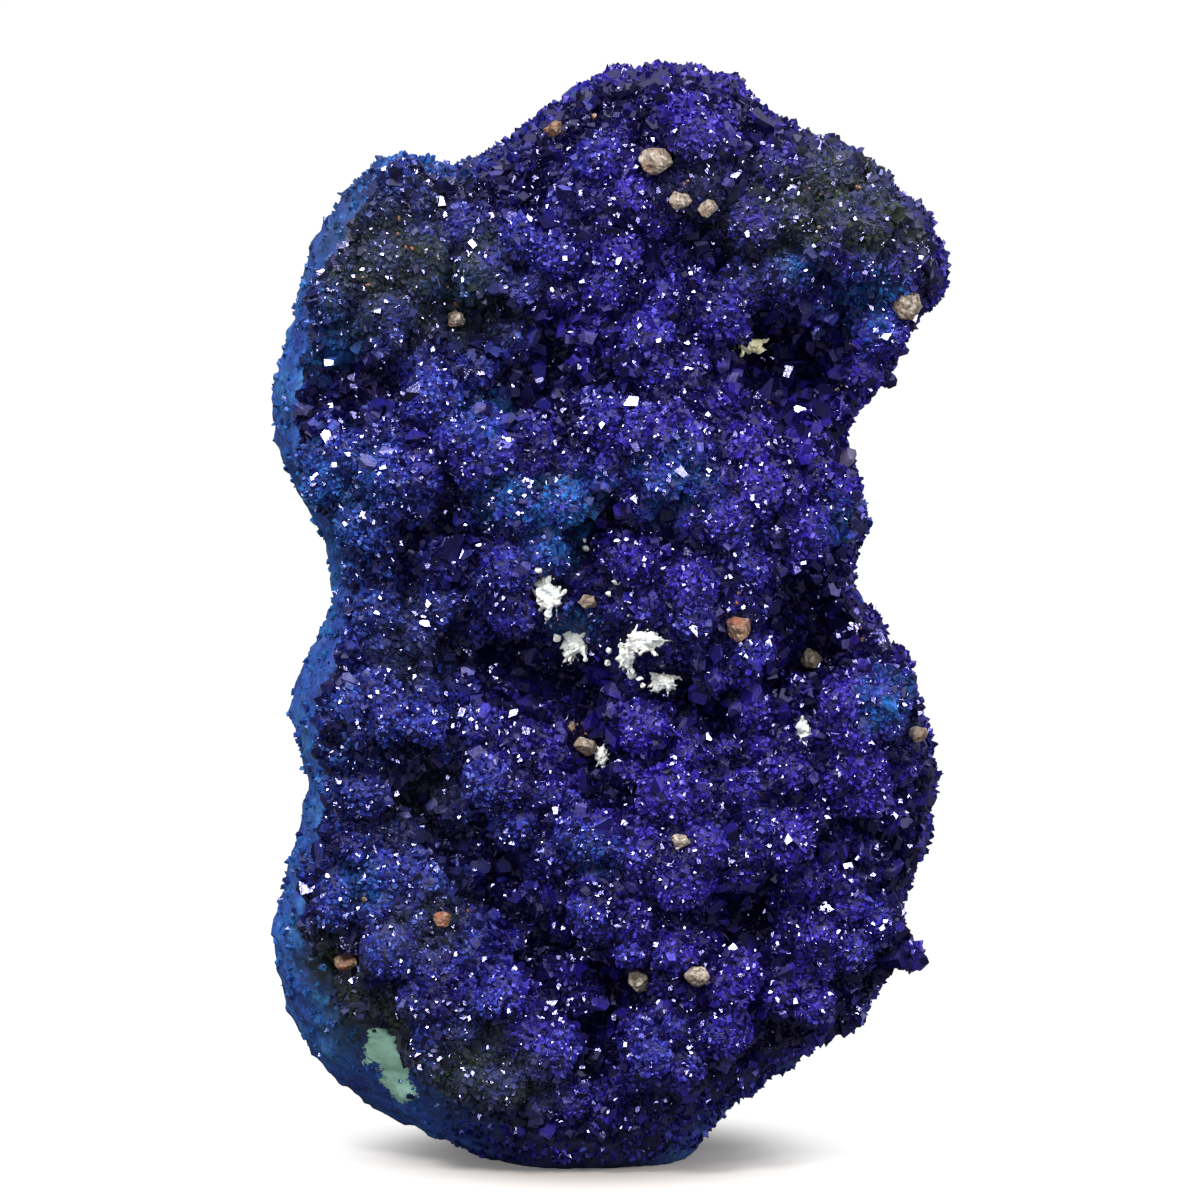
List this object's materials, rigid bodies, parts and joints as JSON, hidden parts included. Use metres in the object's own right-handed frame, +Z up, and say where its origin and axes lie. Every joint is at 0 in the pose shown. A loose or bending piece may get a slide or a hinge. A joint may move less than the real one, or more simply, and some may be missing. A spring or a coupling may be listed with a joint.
{
  "type": "azurite geode",
  "caption": "Half of a hollow azurite nodule standing upright, its open front lined with a crust of dark blue crystals.",
  "frame": {"origin": "centre of the small broken flat at the stone's foot, on which it stands", "axes": "+Z up along the stone's length; -Y is the way the open, crystal-lined front faces; +X is to the right of someone who looks at that front"},
  "size_m": [0.0374, 0.0259, 0.0616],
  "materials": {
    "rind": "matte",
    "azurite": "glassy",
    "clay": "matte",
    "sand": "matte",
    "ochre": "matte"
  },
  "bodies": {
    "root": {"rind": "rind", "crystal_crust": "azurite", "clay_heart": "clay", "clay_lower_left": "clay", "clay_ledge": "clay", "clay_middle": "clay", "clay_lower_right": "clay", "clay_cave": "clay", "clay_right": "clay", "clay_foot": "clay", "grain_round": "sand", "grain_flake_left": "sand", "grain_flake_right": "sand", "grain_upper_left": "sand", "grain_small": "sand", "grain_low_left": "sand", "grain_low_right": "sand", "grain_groove": "sand", "grain_heart": "sand", "grain_shaded": "sand", "grain_edge": "sand", "grain_right_rim": "sand", "grain_summit": "ochre", "grain_rust": "ochre", "grain_left": "ochre", "grain_brown": "ochre"}
  },
  "joints": []
}
